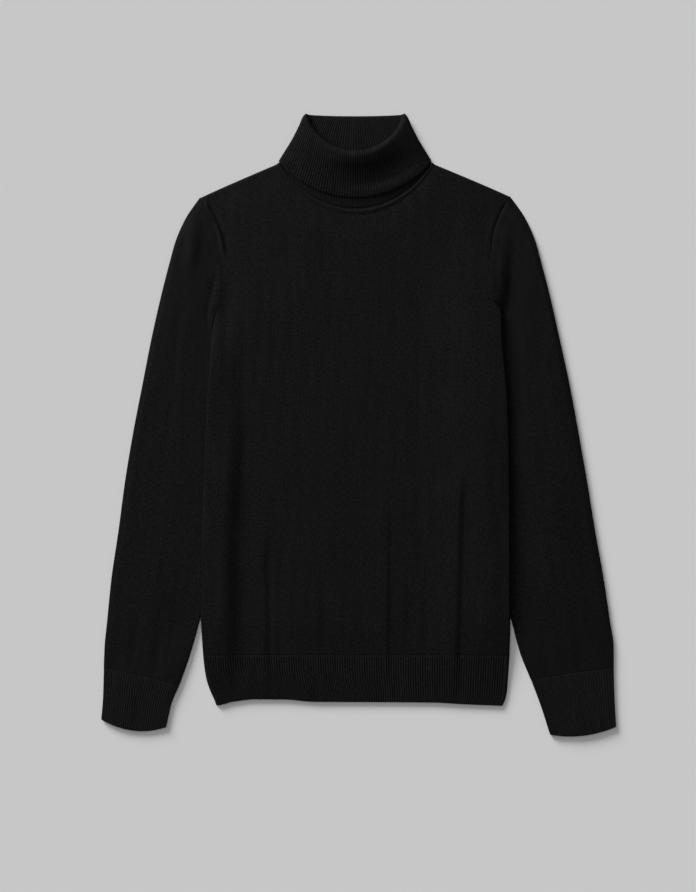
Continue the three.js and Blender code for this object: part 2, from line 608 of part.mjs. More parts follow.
// The plan of one sleeve section: straight from fold to fold, pulled to the armhole's and the cuff's curve
function sleevePlace({ side, table, edge, cuffTable }, i) {
  const down = i / (table.length - 1);
  const sag = cuffTable[0].sag * clamp01((down - CUFF_SAG_FROM) / (1 - CUFF_SAG_FROM)) ** 2;
  const bendLeft = (1 - clamp01(down * HEAD_BEND_FADE)) ** 2;
  const headGap = side * ARMHOLE_GAP * (1 - clamp01(down * HEAD_GAP_FADE));
  const cuffGap = i === table.length - 1 ? SEAM_GAP / 2 : 0;
  return (across) => {
    const straight = across2d(table[i], sag, across);
    const head = across2d(table[0], 0, across);
    const bend = edge(head.y) - head.x;
    return { x: straight.x + bend * bendLeft + headGap * (1 + across), y: straight.y + cuffGap };
  };
}

function sleeve(name, cut) {
  const rows = (inset) => cut.table.map((row, i) => closed(tubeSection({
    place: sleevePlace(cut, i),
    height: (across) => sleeveHeight(across, i / (cut.table.length - 1)),
    width: sectionWidth(row),
    inset,
    columns: SLEEVE_COLUMNS,
    low: SLEEVE_COLUMNS,
  })));
  return wallPiece(name, BLACK_JERSEY, rows(0), rows(JERSEY), true);
}

function cuff(name, table) {
  const ribColumns = Array.from({ length: CUFF_RIBS * COLUMNS_PER_RIB - 1 }, (_, i) => {
    return mix(CUFF_FOLD, 1 - CUFF_FOLD, (i + 1) / (CUFF_RIBS * COLUMNS_PER_RIB));
  });
  const face = (inset, columns, rib) => table.map((row, i) => closed(tubeSection({
    place: (across) => {
      const { x, y } = across2d(row, row.sag, across);
      return { x, y: i === 0 ? y - SEAM_GAP / 2 : y };
    },
    height: () => CUFF_HEIGHT,
    width: sectionWidth(row),
    inset,
    columns,
    low: CUFF_PLAIN_COLUMNS,
    rib,
  })));
  const ribbed = (i) => (i % COLUMNS_PER_RIB ? -RIB_RELIEF / 2 : RIB_RELIEF / 2);
  const over = face(0, ribColumns, ribbed);
  const under = face(RIB_CLOTH, CUFF_PLAIN_COLUMNS, () => 0);
  return wallPiece(name, BLACK_RIB, over, under, true);
}

// The collar: one tube of rib cloth folded over on itself.
// The place of the middle of its wall at a station, at an angle round the loop (0 at the right corner)
function collarPlace(station, angle) {
  const across = Math.cos(angle);
  const x = (station.name === 'seam' ? NECK_CENTRE_X : COLLAR_CENTRE_X) + station.halfWidth * across;
  const front = Math.sin(angle) < 0;
  const arch = (power) => (1 - across * across) ** (power / 2);
  const neckX = NECK_CENTRE_X + NECK_HALF_WIDTH * across;
  const seamY = (front ? frontNeckY(neckX) : backNeckY(neckX)) + COLLAR_SEAM_GAP;
  const ownY = front
    ? station.cornerY - station.frontDip * arch(station.power)
    : station.cornerY - station.backDip * arch(1);
  const y = station.name === 'seam' ? seamY : ownY;
  const half = (mix(station.corner, station.front, arch(2)) - station.back) / 2;
  const depth = Math.sqrt(station.halfWidth * half);
  const reach = (-Math.sin(angle) * station.halfWidth) / depth;
  const z = station.back + half * (1 + reach / Math.hypot(1, reach));
  return new THREE.Vector3(x, y, z);
}

// Even columns round a station: the back half and the front half each divided by length
function collarLoop(station) {
  const half = (from, count) => {
    const samples = Array.from({ length: LOOP_SAMPLES + 1 }, (_, i) => from + (Math.PI * i) / LOOP_SAMPLES);
    const points = samples.map((angle) => collarPlace(station, angle));
    const lengths = [0];
    for (let i = 1; i < points.length; i += 1) {
      lengths.push(lengths[i - 1] + points[i].distanceTo(points[i - 1]));
    }
    const found = [];
    let k = 0;
    for (let c = 0; c < count; c += 1) {
      const target = (lengths.at(-1) * c) / count;
      while (lengths[k + 1] < target) k += 1;
      const t = (target - lengths[k]) / (lengths[k + 1] - lengths[k]);
      found.push(points[k].clone().lerp(points[k + 1], t));
    }
    return found;
  };
  const back = half(0, COLLAR_BACK_RIBS * COLUMNS_PER_RIB);
  const front = half(Math.PI, COLLAR_FRONT_RIBS * COLUMNS_PER_RIB);
  return [...back, ...front];
}

function collar() {
  const stations = COLLAR_PLAN.map((plan, i) => ({ ...plan, ...COLLAR_HEIGHTS[i] }));
  const loops = stations.map(collarLoop);
  const columns = loops[0].length;
  const last = loops.length - 1;
  const corner = COLLAR_BACK_RIBS * COLUMNS_PER_RIB;
  const normal = (i, j) => {
    const around = loops[i][(j + 1) % columns].clone().sub(loops[i][(j - 1 + columns) % columns]);
    const along = loops[Math.min(last, i + 1)][j].clone().sub(loops[Math.max(0, i - 1)][j]);
    if (i === 0) along.z = 0;
    return around.cross(along).normalize();
  };
  // +1 is the face that shows: inside the stand, and outside once folded over
  const faceSide = Math.sign(normal(2, corner / 2).z);
  const point = (i, j, side) => {
    const out = normal(i, j).multiplyScalar(faceSide);
    const raised = j % COLUMNS_PER_RIB ? -0.5 : 0.5;
    const shown = side > 0 ? smooth(0.5 + out.z * RIB_TURN) : Number(i === 0 && j > corner);
    const away = RIB_CLOTH / 2 + RIB_RELIEF * raised * shown;
    const moved = loops[i][j].clone().addScaledVector(out, side * away);
    moved.z = Math.max(0, moved.z);
    return moved;
  };
  const ribbedFace = (side) => loops.map((loop, i) => closed(loop.map((_, j) => point(i, j, side))));
  const seen = ribbedFace(1);
  const strip = ribbedFace(-1).slice(0, RIBBED_STRIP_STATIONS);
  const nearCorner = (j) => {
    const away = [0, corner, columns].map((c) => Math.abs(j - c));
    return Math.min(...away) <= CORNER_FULL_COLUMNS;
  };
  const kept = loops[0].map((_, j) => j).filter((j) => nearCorner(j) || j % PLAIN_COLUMN_STEP === 0);
  const plainFace = loops.map((_, i) => closed(kept.map((j) => point(i, j, -1))));
  const hidden = plainFace.slice(RIBBED_STRIP_STATIONS - 1);
  const wall = new Wall();
  wall.grid(seen);
  wall.grid(strip, true);
  wall.grid(hidden, true);
  wall.join(seen[0], strip[0]);
  wall.join(strip.at(-1), hidden[0]);
  wall.join([...seen.at(-1)].reverse(), [...hidden.at(-1)].reverse());
  return wall.mesh('collar', BLACK_RIB);
}

const sweater = new THREE.Group();
sweater.add(
  frontPanel(),
  backPanel(),
  sleeve('left_sleeve', { side: -1, table: LEFT_SLEEVE, edge: leftEdge, cuffTable: LEFT_CUFF }),
  sleeve('right_sleeve', { side: 1, table: RIGHT_SLEEVE, edge: rightEdge, cuffTable: RIGHT_CUFF }),
  cuff('left_cuff', LEFT_CUFF),
  cuff('right_cuff', RIGHT_CUFF),
  frontHem(),
  backHem(),
  collar(),
);

export default sweater;
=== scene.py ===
"""A fine-gauge black turtleneck sweater, laid out flat with its front up on a pale floor.

Sizes are in millimetres until a mesh is made, and in metres from there on. +Z is up from the floor,
+Y runs to the collar and "left" is the -X side. Each cloth piece is a thin knitted shell: the middle
of its wall is worked out as a grid, and thickness, ribs and seams are raised from that.
"""

import math

import bpy
import numpy as np
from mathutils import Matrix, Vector


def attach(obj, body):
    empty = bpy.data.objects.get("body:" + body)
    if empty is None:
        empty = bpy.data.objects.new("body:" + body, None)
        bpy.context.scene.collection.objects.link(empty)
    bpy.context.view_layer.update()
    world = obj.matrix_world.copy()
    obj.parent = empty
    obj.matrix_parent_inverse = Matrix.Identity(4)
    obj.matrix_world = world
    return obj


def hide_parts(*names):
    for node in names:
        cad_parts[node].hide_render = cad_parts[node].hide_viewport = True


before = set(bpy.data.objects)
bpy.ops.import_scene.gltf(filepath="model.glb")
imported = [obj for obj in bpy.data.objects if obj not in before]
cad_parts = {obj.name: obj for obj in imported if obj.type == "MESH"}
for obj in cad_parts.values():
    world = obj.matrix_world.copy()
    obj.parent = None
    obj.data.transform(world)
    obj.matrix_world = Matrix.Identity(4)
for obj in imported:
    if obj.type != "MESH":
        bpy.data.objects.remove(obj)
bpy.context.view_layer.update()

MM = 0.001

# Cloth
JERSEY = 1.3
RIB_CLOTH = 1.5
RIB_RELIEF = 0.9
CUFF_RELIEF = 0.5
COLLAR_CLOTH = 1.15
FOLD_RADIUS = 4.3
ROLL_SQUEEZE = 0.55
SEAM_GAP = 0.12
NECK_RIDGE = 0.9
ARMHOLE_RIDGE = {-1: 2.0, 1: -0.9}
RIDGE_CENTRE = {-1: 4.2, 1: 0.0}
RIDGE_WIDTH = {-1: 2.2, 1: 1.4}
PER_RIB = 8

# Body
HEM_JOIN_Y = -276.0
ARMPIT_Y = {-1: 124.8, 1: 135.6}
SHOULDER = {-1: (-189.7, 273.0), 1: (181.1, 274.7)}
SHOULDER_RISE_POWER = 0.96
NECK_CENTRE_X = -3.6
NECK_HALF_WIDTH = 90.5
NECK_CORNER_Y = 315.0
NECK_DIP = 55.6
NECK_POWER = 1.6
BACK_NECK_DIP = 8.0
TOP_PULL_FROM = 0.8
FRONT_PUFF = 1.2
PUFF_RUN = 42.0
HEM_PUFF = 0.35

# How far the body's sides lie on the sleeves
SLEEVE_FLAT = {-1: 4.3, 1: 3.6}
SLEEVE_HEAD = 4.3
SLEEVE_PUFFED = {-1: 6.0, 1: 7.2}
SLEEVE_ROUND = 1.2
LEAST_SLEEVE = 3.0
SLEEVE_SWELL = {-1: 0.8, 1: 0.2}
BODY_LIFT = {-1: 5.4, 1: 8.6}
LIFT_LINE = {-1: -168.0, 1: 166.0}
LIFT_SHOULDER = 2.0
LIFT_RUN = {-1: 30.0, 1: 90.0}
# The cloth round the right armhole stands up by this much above the armpit
ARMPIT_RISE = 6.2

# Side and armhole edges of the body: y, x
EDGE = {
    -1: [(-276, -186.6), (-258, -187.8), (-224.4, -189.4), (-162, -188.4), (-90, -186.6), (-30, -184.6),
         (30, -181.8), (90, -177.6), (124.8, -174.6), (148.8, -165.6), (165.6, -164), (198, -165),
         (212.4, -167.2), (228, -170.4), (242.4, -175.6), (258, -184), (273, -189.7)],
    1: [(-276, 181.2), (-224.4, 182.2), (-90, 181.8), (-30, 181.2), (30, 179.4), (78, 175.2), (106, 172.8),
        (135.6, 172.2), (148.8, 162), (165.6, 159.6), (198, 159.6), (220.8, 160.2), (236.4, 163.2),
        (250.8, 168.6), (274.7, 181.1)],
}

# Hem band: its sides as y, x and its lower edge as x, y
HEM_SIDE = {
    -1: [(-337, -171), (-330, -173.6), (-320, -178), (-306, -182.6), (-290, -185.2), (-276, -186.6)],
    1: [(-337, 173.4), (-330, 176.4), (-320, 178.4), (-306, 179.4), (-276, 181.2)],
}
HEM_LOWER = [(-187, -336.5), (-171, -336.2), (-150.6, -331.6), (-124.2, -328.7), (-89.4, -328.9),
             (-52.2, -331.7), (1.8, -331.9), (87, -332.5), (126.6, -334.6), (173.4, -336.6), (182, -337)]
HEM_RIBS = 122

# Sleeve sections from the armhole to the cuff: outer fold x, y and underarm fold x, y
SLEEVE = {
    -1: [(-189.7, 273, -174.6, 124.8), (-197.4, 262.8, -175.2, 117), (-207, 248.4, -174.8, 109),
         (-219, 222, -174.2, 99), (-227, 194, -172.5, 82), (-238.2, 150, -171.5, 62), (-249, 102, -168, 34),
         (-260, 46, -165.5, 0), (-270.5, -8, -164.5, -42), (-280.2, -66, -165, -84),
         (-288.2, -126, -169.5, -136), (-297, -186, -180, -190), (-301.8, -234, -191.5, -238),
         (-305, -266, -203, -278), (-306, -291.6, -215.4, -313.2)],
    1: [(181.1, 274.7, 172.2, 135.6), (190.2, 262.8, 172, 127), (199.8, 248.4, 171.2, 118),
        (211.8, 222, 170.6, 107), (219.6, 194, 169.5, 88), (231, 150, 168, 66), (241.8, 102, 163, 38),
        (254, 46, 159.5, 2), (264, -8, 157.5, -40), (274.2, -66, 158, -84), (284, -126, 163, -136),
        (294.6, -186, 172, -190), (301.8, -234, 184, -236), (306.4, -266, 193.5, -272),
        (306.6, -291.6, 207, -306)],
}

# Cuff sections from the join to the free edge: outer x, y, inner x, y, and how far it bows to the hand
CUFF = {
    -1: [(-306, -291.6, -215.4, -313.2, -1.5), (-307.1, -327.6, -224.2, -334, -1),
         (-309.2, -352.5, -230.8, -362, 9)],
    1: [(306.6, -291.6, 207, -306, -1), (307.8, -330, 218.4, -336.4, -1), (309.6, -361.5, 229.6, -371, 6)],
}
CUFF_HEIGHT = 5.6
CUFF_RIBS = 30

# Stations along the collar's cloth: seam, stand, fold, and down to the free edge. Half width and
# corner y place a loop's corners, the dips say how far its front and back run below them.
COLLAR_CENTRE_X = -4.0
COLLAR = [
    # half width, corner y, front dip, power, back dip, then heights at front, corner and back
    (90.0, 315.0, 57.0, 1.6, 7.8, 3.5, 3.2, 0.9),
    (87.0, 320.0, 46.2, 1.6, -1.0, 6.0, 4.5, 3.2),
    (72.0, 344.0, 39.5, 1.5, 0.0, 7.8, 7.0, 4.4),
    (55.6, 369.6, 47.4, 1.4, 1.9, 12.8, 7.6, 3.7),
    (58.8, 372.8, 45.0, 1.36, 2.5, 17.0, 10.0, 2.3),
    (62.0, 369.6, 48.0, 1.4, 1.9, 20.9, 12.4, 0.9),
    (66.4, 359.5, 44.8, 1.45, 1.6, 19.4, 11.9, 0.9),
    (76.5, 340.0, 37.5, 1.5, 0.0, 14.4, 9.9, 0.9),
    (84.0, 328.0, 39.5, 1.58, -2.6, 10.7, 7.9, 0.9),
    (91.0, 316.8, 43.4, 1.65, -5.2, 7.9, 5.9, 0.9),
]
# Dents of its front: place x, y, half width and height, depth, and the station from which they are there
COLLAR_DENTS = [
    (24, 296, 34, 19, 3.3, 0.6),
    (50, 318, 22, 15, 1.6, 4.6),
    (-62, 342, 13, 12, -1.0, 4.6),
]
COLLAR_BEND = 0.0022
COLLAR_FRONT_RIBS = 64
COLLAR_BACK_RIBS = 48

# Soft folds of the front: upper end x, y, lower end x, y, half width, depth
FRONT_FOLDS = [
    (-110, -170, -106, -285, 4.0, 0.3),
    (-160, 150, -160, -30, 8.0, 1.0),
    (-66, 60, -70, -120, 9.0, 0.3),
    (70, 90, 76, -60, 10.0, 0.3),
]
# Creases where the cloth steps down to the right: the same ends, the step's width and its drop
FRONT_STEPS = [
    (-149, -30, -153, -290, 20.0, 2.0),
    (-110, -160, -108, -300, 9.0, 1.3),
    (36.5, -125, 35, -290, 6.0, 1.1),
    (124, -90, 118, -300, 9.5, 2.7),
    (-46, -190, -48, -285, 6.0, 0.5),
    (10, 60, 6, -90, 10.0, 0.3),
    (-66, 150, -60, -20, 12.0, 0.3),
    (84, 30, 88, -140, 10.0, 0.3),
]
STEP_REACH = 30.0
FOLD_FADE = 40.0

# Soft folds of a sleeve: across and down at both ends, half width across, depth
SLEEVE_FOLDS = {
    -1: [(0.62, 0.05, 0.74, 0.22, 0.07, 1.0), (0.33, 0.86, 0.35, 1.0, 0.05, 0.7),
         (0.60, 0.90, 0.70, 1.0, 0.05, 0.6), (0.30, 0.30, 0.42, 0.62, 0.10, 0.35)],
    1: [(0.70, 0.04, 0.78, 0.24, 0.08, 0.9), (0.36, 0.86, 0.38, 1.0, 0.05, 0.7),
        (0.72, 0.90, 0.78, 1.0, 0.05, 0.6), (0.32, 0.34, 0.40, 0.66, 0.10, 0.35)],
}

# The same at a place: upper end x, y, lower end x, y, half width, depth, which is negative for a ridge
SLEEVE_DENTS = {
    -1: [(-199, 222, -200, 206, 7.5, -2.1)],
    1: [(212, 40, 226, -60, 9.0, 0.5)],
}


# Small maths on arrays
def mix(a, b, t):
    return a + (b - a) * t


def smooth(t):
    t = np.clip(t, 0.0, 1.0)
    return t * t * (3.0 - 2.0 * t)


def bell(t):
    return np.exp(-t * t)


def unit(vectors):
    return vectors / np.maximum(np.linalg.norm(vectors, axis=-1, keepdims=True), 1e-9)


def through(places, values):
    """A smooth curve through points, with slopes limited so that it never swings past them."""
    order = np.argsort(places)
    at = np.asarray(places, float)[order]
    value = np.asarray(values, float)[order]
    chord = np.diff(value) / np.diff(at)
    before, after = chord[:-1], chord[1:]
    total = np.where(np.abs(before + after) < 1e-12, 1.0, before + after)
    inside = np.where(before * after <= 0.0, 0.0, 2.0 * before * after / total)
    slope = np.concatenate([chord[:1], inside, chord[-1:]])

    def curve(place):
        p = np.clip(place, at[0], at[-1])
        i = np.clip(np.searchsorted(at, p, side="right") - 1, 0, len(at) - 2)
        run = at[i + 1] - at[i]
        t = (p - at[i]) / run
        return ((1 + 2 * t) * (1 - t) ** 2 * value[i] + t * (1 - t) ** 2 * run * slope[i]
                + t * t * (3 - 2 * t) * value[i + 1] + t * t * (t - 1) * run * slope[i + 1])

    return curve


def table_curve(table, along, column):
    return through([row[along] for row in table], [row[column] for row in table])


def ripple(x, y, length, seed):
    """Gentle uneven waves, about -1 to 1, that a given length of cloth repeats loosely."""
    total = np.zeros(np.broadcast(x, y).shape)
    for k in range(6):
        turn = seed * 1.7 + k * 2.4
        way = 2 * math.pi / (length * (0.7 + 0.22 * k))
        total = total + np.sin(way * (x * math.cos(turn) + y * math.sin(turn)) + seed * 3.1 + k * 1.3)
    return total / 3.0


# The body's plan
edge_x = {side: table_curve(EDGE[side], 0, 1) for side in (-1, 1)}
hem_x = {side: table_curve(HEM_SIDE[side], 0, 1) for side in (-1, 1)}
hem_lower_y = table_curve(HEM_LOWER, 0, 1)
underarm_x = {side: table_curve(SLEEVE[side], 3, 2) for side in (-1, 1)}


def row_y(side, p):
    armpit, shoulder = ARMPIT_Y[side], SHOULDER[side][1]
    return np.where(p <= 1, mix(HEM_JOIN_Y, armpit, p), mix(armpit, shoulder, p - 1))


def neck_arch(x, power):
    across = np.clip(np.abs(x - NECK_CENTRE_X) / NECK_HALF_WIDTH, 0, 1)
    return (1 - across * across) ** (power / 2)


def front_neck_y(x):
    return NECK_CORNER_Y - NECK_DIP * neck_arch(x, NECK_POWER)


def back_neck_y(x):
    return NECK_CORNER_Y - BACK_NECK_DIP * neck_arch(x, 2)


def top_y(x, neck_y):
    """The top edge of a panel: its shoulder seams, and the neck seam between them."""
    out = neck_y(x)
    for side in (-1, 1):
        corner = NECK_CENTRE_X + side * NECK_HALF_WIDTH
        sx, sy = SHOULDER[side]
        t = np.clip((x - sx) / (corner - sx), 0, 1)
        shoulder = mix(sy, NECK_CORNER_Y, t ** SHOULDER_RISE_POWER)
        out = np.where(side * (x - corner) > 0, shoulder, out)
    return out


def body_place(f, offset, p, from_top, neck_y):
    """A place on a panel: f is a fraction of the width, p 0 at the hem join, 1 armpit, 2 shoulder."""
    left_y = row_y(-1, p) - from_top
    right_y = row_y(1, p) - from_top
    x = mix(edge_x[-1](left_y), edge_x[1](right_y), f) + offset
    top_x = mix(SHOULDER[-1][0], SHOULDER[1][0], f) + offset
    rise = top_y(top_x, neck_y) - mix(SHOULDER[-1][1], SHOULDER[1][1], f)
    pull = smooth((p - TOP_PULL_FROM) / (2 - TOP_PULL_FROM))
    return x, mix(left_y, right_y, f) + rise * pull


def body_lift(x, y):
    """How high the body's underside lies above the floor, where its sides cover the sleeves."""
    left_line = np.maximum(underarm_x[-1](y), LIFT_LINE[-1])
    right_line = np.minimum(underarm_x[1](y), LIFT_LINE[1])
    past = np.where(x < 0, left_line - x, x - right_line)
    run = np.where(x < 0, LIFT_RUN[-1], LIFT_RUN[1])
    side = smooth((past + LIFT_SHOULDER + run) / run)
    above = smooth((y + 345) / 130)
    return np.where(x < 0, BODY_LIFT[-1], BODY_LIFT[1]) * side * below_armpit(x, y) * above


def below_armpit(x, y):
    return smooth((np.where(x < 0, ARMPIT_Y[-1], ARMPIT_Y[1]) + 12 - y) / 70)


def armpit_rise(x, y):
    """How the front and the right sleeve stand up together round the right armhole."""
    return ARMPIT_RISE * smooth((262 - y) / 100) * smooth((x - 70) / 90)


def fold_depth(folds, x, y):
    total = np.zeros(np.broadcast(x, y).shape)
    for top_x, topmost, low_x, lowest, half, depth in folds:
        centre = mix(top_x, low_x, (topmost - y) / (topmost - lowest))
        ends = smooth((topmost + FOLD_FADE - y) / FOLD_FADE) * smooth((y - lowest + FOLD_FADE) / FOLD_FADE)
        total = total + depth * ends * bell((x - centre) / half)
    return total


def step_height(steps, x, y):
    total = np.zeros(np.broadcast(x, y).shape)
    for top_x, topmost, low_x, lowest, width, drop in steps:
        past = x - mix(top_x, low_x, (topmost - y) / (topmost - lowest))
        ends = smooth((topmost + FOLD_FADE - y) / FOLD_FADE) * smooth((y - lowest + FOLD_FADE) / FOLD_FADE)
        total = total + drop * ends * (0.5 - smooth(past / width + 0.5)) * bell(past / STEP_REACH)
    return total


def front_puff(x, y, from_side, from_top):
    """How far the front stands clear of the back, with its soft folds and the unevenness of cloth."""
    inside = smooth(from_side / PUFF_RUN) * smooth(from_top / PUFF_RUN)
    near = smooth(from_side / 12) * smooth(from_top / 10)
    hem = mix(HEM_PUFF, 1, smooth((y - HEM_JOIN_Y) / PUFF_RUN))
    uneven = 0.32 * ripple(x, y * 0.45, 62, 1.0) + 0.10 * ripple(x, y * 0.5, 21, 4.0)
    folds = step_height(FRONT_STEPS, x, y) - fold_depth(FRONT_FOLDS, x, y)
    return FRONT_PUFF * inside * hem + near * (uneven * hem + folds)


# Turning a grid of wall middles into a closed, thin shell
RIM = [(0.71, 0.71), (1.0, 0.0), (0.71, -0.71)]


def normals(middle, tube):
    along = np.gradient(middle, axis=0)
    if tube:
        across = np.roll(middle, -1, axis=1) - np.roll(middle, 1, axis=1)
    else:
        across = np.gradient(middle, axis=1)
    return unit(np.cross(across, along))


def add_rims(middle, facing, up, half, axis):
    """Three more lines beyond both ends of an axis, which round the wall's edge outwards and down."""
    m, n, u = (np.moveaxis(a, axis, 0) for a in (middle, facing, up))

    def rim(end, inside):
        away = unit(m[end] - m[inside])
        return [(m[end] + away * half * out, n[end], np.minimum(u[end], drop)) for out, drop in RIM]

    before, after = rim(0, 1)[::-1], rim(-1, -2)
    grown = []
    for k, whole in enumerate((m, n, u)):
        parts = [np.stack([line[k] for line in before]), whole, np.stack([line[k] for line in after])]
        grown.append(np.moveaxis(np.concatenate(parts), 0, axis))
    return grown


def join(over, under, points):
    """Triangles between two edge lines that start and end side by side, whatever their counts."""
    def progress(line):
        run = np.cumsum(np.linalg.norm(np.diff(points[line], axis=0), axis=1))
        return np.concatenate([[0], run / run[-1], [2]])

    over_at, under_at = progress(over), progress(under)
    faces, i, j = [], 0, 0
    while i < len(over) - 1 or j < len(under) - 1:
        if over_at[i + 1] <= under_at[j + 1]:
            faces.append((over[i + 1], over[i], under[j]))
            i += 1
        else:
            faces.append((over[i], under[j], under[j + 1]))
            j += 1
    return faces


def quads(index, turned):
    a, b, c, d = index[:-1, :-1], index[:-1, 1:], index[1:, 1:], index[1:, :-1]
    corners = [a, d, c, b] if turned else [a, b, c, d]
    return np.stack([corner.ravel() for corner in corners], axis=1)


def kept(count, step):
    """Each step-th of a count, with the last one."""
    chosen = list(range(0, count, step))
    return chosen if chosen[-1] == count - 1 else chosen + [count - 1]


def shell(name, middle, thickness, knit, relief=0.0, inner_relief=0.0, tube=False, steps=(3, 4)):
    """A closed shell about a grid of wall middles, with rounded rims at its free edges.

    knit holds each point's place across and along the knit. relief is raised on the outer face and
    inner_relief on the inner one, which keeps only some of the rows and columns.
    """
    half = thickness / 2
    facing = normals(middle, tube)
    rows, columns = middle.shape[:2]
    pads = [(3, 3), (0, 0) if tube else (3, 3)]
    outer_middle, outer_facing, up = add_rims(middle, facing, np.ones((rows, columns)), half, 0)
    if not tube:
        outer_middle, outer_facing, up = add_rims(outer_middle, outer_facing, up, half, 1)
    raised = np.pad(np.broadcast_to(relief, (rows, columns)), pads, mode="edge") * np.maximum(up, 0)
    outer = outer_middle + outer_facing * (half * up + raised)[..., None]
    row_step, column_step = steps
    some_rows = kept(rows, row_step)
    some_columns = list(range(0, columns, column_step)) if tube else kept(columns, column_step)
    lowered = np.broadcast_to(inner_relief, (rows, columns))
    inner = (middle - facing * (half + lowered)[..., None])[np.ix_(some_rows, some_columns)]

    points = np.concatenate([outer.reshape(-1, 3), inner.reshape(-1, 3)])
    outer_index = np.arange(outer.shape[0] * outer.shape[1]).reshape(outer.shape[:2])
    inner_index = np.arange(inner.shape[0] * inner.shape[1]).reshape(inner.shape[:2]) + outer_index.size
    if tube:
        outer_index = np.concatenate([outer_index, outer_index[:, :1]], axis=1)
        inner_index = np.concatenate([inner_index, inner_index[:, :1]], axis=1)
        some_columns = some_columns + [columns]
        pads[1] = (0, 0)
    outer_knit = np.pad(knit, pads + [(0, 0)], mode="edge")
    inner_knit = knit[np.ix_(some_rows, some_columns)]
    corner_faces = [(quads(outer_index, False), quad_values(outer_knit, False)),
                    (quads(inner_index, True), quad_values(inner_knit, True))]
    rims = join(outer_index[0], inner_index[0], points)
    rims += join(outer_index[-1][::-1], inner_index[-1][::-1], points)
    if not tube:
        rims += join(outer_index[:, -1], inner_index[:, -1], points)
        rims += join(outer_index[::-1, 0], inner_index[::-1, 0], points)
    rims = np.array(rims)
    by_point = np.zeros((len(points), 2))
    by_point[outer_index.ravel()] = outer_knit.reshape(-1, 2)
    by_point[inner_index.ravel()] = inner_knit.reshape(-1, 2)
    corner_faces.append((rims, by_point[rims]))
    return make_mesh(name, points * MM, corner_faces)


def quad_values(values, turned):
    a, b, c, d = values[:-1, :-1], values[:-1, 1:], values[1:, 1:], values[1:, :-1]
    corners = [a, d, c, b] if turned else [a, b, c, d]
    return np.stack([corner.reshape(-1, 2) for corner in corners], axis=1)


def make_mesh(name, points, corner_faces):
    mesh = bpy.data.meshes.new(name)
    mesh.vertices.add(len(points))
    mesh.vertices.foreach_set("co", points.astype(np.float32).ravel())
    totals = np.concatenate([np.full(len(faces), faces.shape[1]) for faces, _ in corner_faces])
    corners = np.concatenate([faces.ravel() for faces, _ in corner_faces])
    places = np.concatenate([values.reshape(-1, 2) for _, values in corner_faces])
    mesh.loops.add(len(corners))
    mesh.loops.foreach_set("vertex_index", corners.astype(np.int32))
    mesh.polygons.add(len(totals))
    starts = np.concatenate([[0], np.cumsum(totals)[:-1]])
    mesh.polygons.foreach_set("loop_start", starts.astype(np.int32))
    mesh.polygons.foreach_set("loop_total", totals.astype(np.int32))
    mesh.polygons.foreach_set("use_smooth", np.ones(len(totals), bool))
    mesh.uv_layers.new(name="knit").data.foreach_set("uv", (places * MM).astype(np.float32).ravel())
    mesh.update(calc_edges=True)
    mesh.validate()
    piece = bpy.data.objects.new(name, mesh)
    bpy.context.collection.objects.link(piece)
    return piece


# The body panels
def columns_of(count, edge_count):
    """Columns of a panel: fractions of the width, the side each belongs to, and its angle round a roll."""
    angles = np.linspace(0, 90, edge_count)
    inside = np.linspace(0, 1, count + 2)[1:-1]
    first = 0.0135
    inside = first + (1 - 2 * first) * inside
    f = np.concatenate([np.zeros(edge_count), inside, np.ones(edge_count)])
    side = np.concatenate([-np.ones(edge_count), np.zeros(count), np.ones(edge_count)])
    angle = np.concatenate([angles, np.full(count, 90.0), angles[::-1]])
    return f[None, :], side[None, :], np.radians(angle)[None, :]


def rolled_in(radius, angle):
    return FOLD_RADIUS - radius + ROLL_SQUEEZE * radius * (1 - np.cos(angle))


def ridge(away, height, width, dip, dip_width):
    """A raised, linked seam whose top is at 0, and the soft dip beyond it."""
    return height * (bell(away / width) - dip * bell((away - 5.2) / dip_width))


def armhole_ridge(side, away, dip, dip_width):
    return ridge(away, ARMHOLE_RIDGE[side], RIDGE_WIDTH[side], dip, dip_width)


